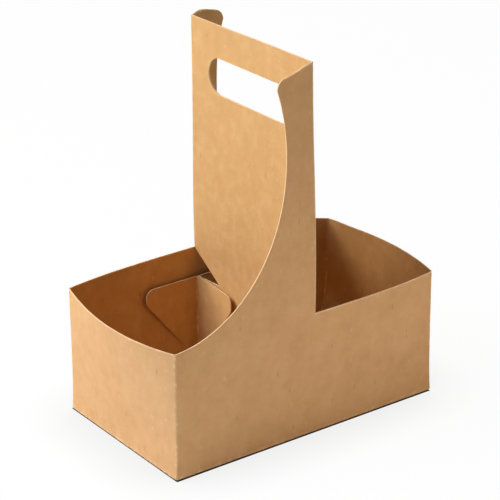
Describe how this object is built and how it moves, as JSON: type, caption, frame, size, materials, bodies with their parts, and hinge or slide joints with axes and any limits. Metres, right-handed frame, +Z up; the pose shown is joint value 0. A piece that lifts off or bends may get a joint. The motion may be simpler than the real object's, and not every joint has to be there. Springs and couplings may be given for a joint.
{
  "type": "cup carrier",
  "caption": "Folded kraft board carrier for takeaway cups: an open box with bowed walls, swept wings and a centre handle panel with a hand slot between the cup cells.",
  "frame": {"origin": "middle of the base's underside", "axes": "+Z up along the handle, X along the length of the box, +Y across it from the wall with the left-hand wing to the back"},
  "size_m": [0.2292, 0.1423, 0.259],
  "materials": {
    "kraft_board": "matte uncoated brown kraft board with faint fibres and pale cut edges"
  },
  "bodies": {
    "root": {"carrier": "kraft_board"}
  },
  "joints": []
}
